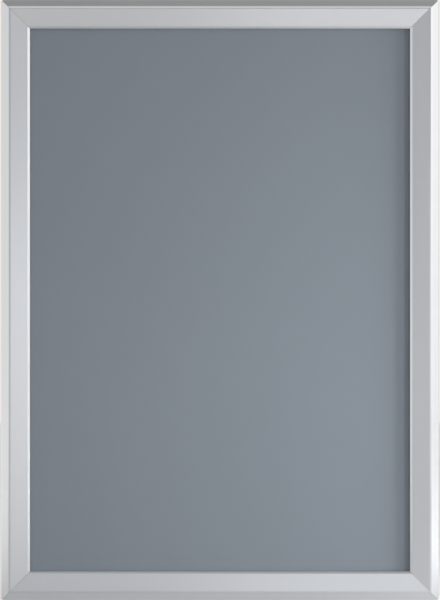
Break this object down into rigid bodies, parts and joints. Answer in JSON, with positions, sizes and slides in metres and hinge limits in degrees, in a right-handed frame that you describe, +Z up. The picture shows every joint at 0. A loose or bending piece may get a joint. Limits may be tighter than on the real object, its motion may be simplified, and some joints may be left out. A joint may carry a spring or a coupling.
{
  "type": "snap frame",
  "caption": "Wall-hung poster frame whose mitred aluminium front rails hinge open on sprung base rails and snap shut to clamp a clear cover over a grey backing panel.",
  "frame": {"origin": "middle of the frame on the wall plane, where the mount named wall lies", "axes": "+Z up the tall side, +Y into the wall, so the front faces -Y, and +X to the viewer's right"},
  "size_m": [0.468, 0.0141, 0.642],
  "materials": {
    "front_rail": "satin anodised, fine lines along the extrusion",
    "base_rail": "mill finish extrusion",
    "spring": "tempered spring strip",
    "corner_key": "zinc plated, stamped",
    "key_screw": "black oxide",
    "back_panel": "grey styrene sheet, fine matt",
    "cover_sheet": "clear vinyl, non-glare"
  },
  "bodies": {
    "base": {"base_rail_bottom": "base_rail", "base_rail_left": "base_rail", "base_rail_top": "base_rail", "base_rail_right": "base_rail", "snap_spring_bottom_1": "spring", "snap_spring_bottom_2": "spring", "snap_spring_left_1": "spring", "snap_spring_left_2": "spring", "snap_spring_left_3": "spring", "snap_spring_top_1": "spring", "snap_spring_top_2": "spring", "snap_spring_right_1": "spring", "snap_spring_right_2": "spring", "snap_spring_right_3": "spring", "corner_key_bottom_left": "corner_key", "corner_key_top_left": "corner_key", "corner_key_top_right": "corner_key", "corner_key_bottom_right": "corner_key", "key_screw_bottom_left_1": "key_screw", "key_screw_bottom_left_2": "key_screw", "key_screw_top_left_1": "key_screw", "key_screw_top_left_2": "key_screw", "key_screw_top_right_1": "key_screw", "key_screw_top_right_2": "key_screw", "key_screw_bottom_right_1": "key_screw", "key_screw_bottom_right_2": "key_screw", "back_panel": "back_panel", "cover_sheet": "cover_sheet"},
    "bottom_front": {"front_rail_bottom": "front_rail"},
    "left_front": {"front_rail_left": "front_rail"},
    "top_front": {"front_rail_top": "front_rail"},
    "right_front": {"front_rail_right": "front_rail"}
  },
  "joints": [
    {"name": "bottom_rail_hinge", "type": "hinge", "parent": "base", "child": "bottom_front", "pos_m": [0, -0.0051, -0.31817], "axis": [1, 0, 0], "range_deg": [0, 95], "deforming": ["snap_spring_bottom_1", "snap_spring_bottom_2"]},
    {"name": "left_rail_hinge", "type": "hinge", "parent": "base", "child": "left_front", "pos_m": [-0.23117, -0.0051, 0], "axis": [0, 0, -1], "range_deg": [0, 95], "deforming": ["snap_spring_left_1", "snap_spring_left_2", "snap_spring_left_3"]},
    {"name": "top_rail_hinge", "type": "hinge", "parent": "base", "child": "top_front", "pos_m": [0, -0.0051, 0.31817], "axis": [-1, 0, 0], "range_deg": [0, 95], "deforming": ["snap_spring_top_1", "snap_spring_top_2"]},
    {"name": "right_rail_hinge", "type": "hinge", "parent": "base", "child": "right_front", "pos_m": [0.23117, -0.0051, 0], "axis": [0, 0, 1], "range_deg": [0, 95], "deforming": ["snap_spring_right_1", "snap_spring_right_2", "snap_spring_right_3"]}
  ]
}
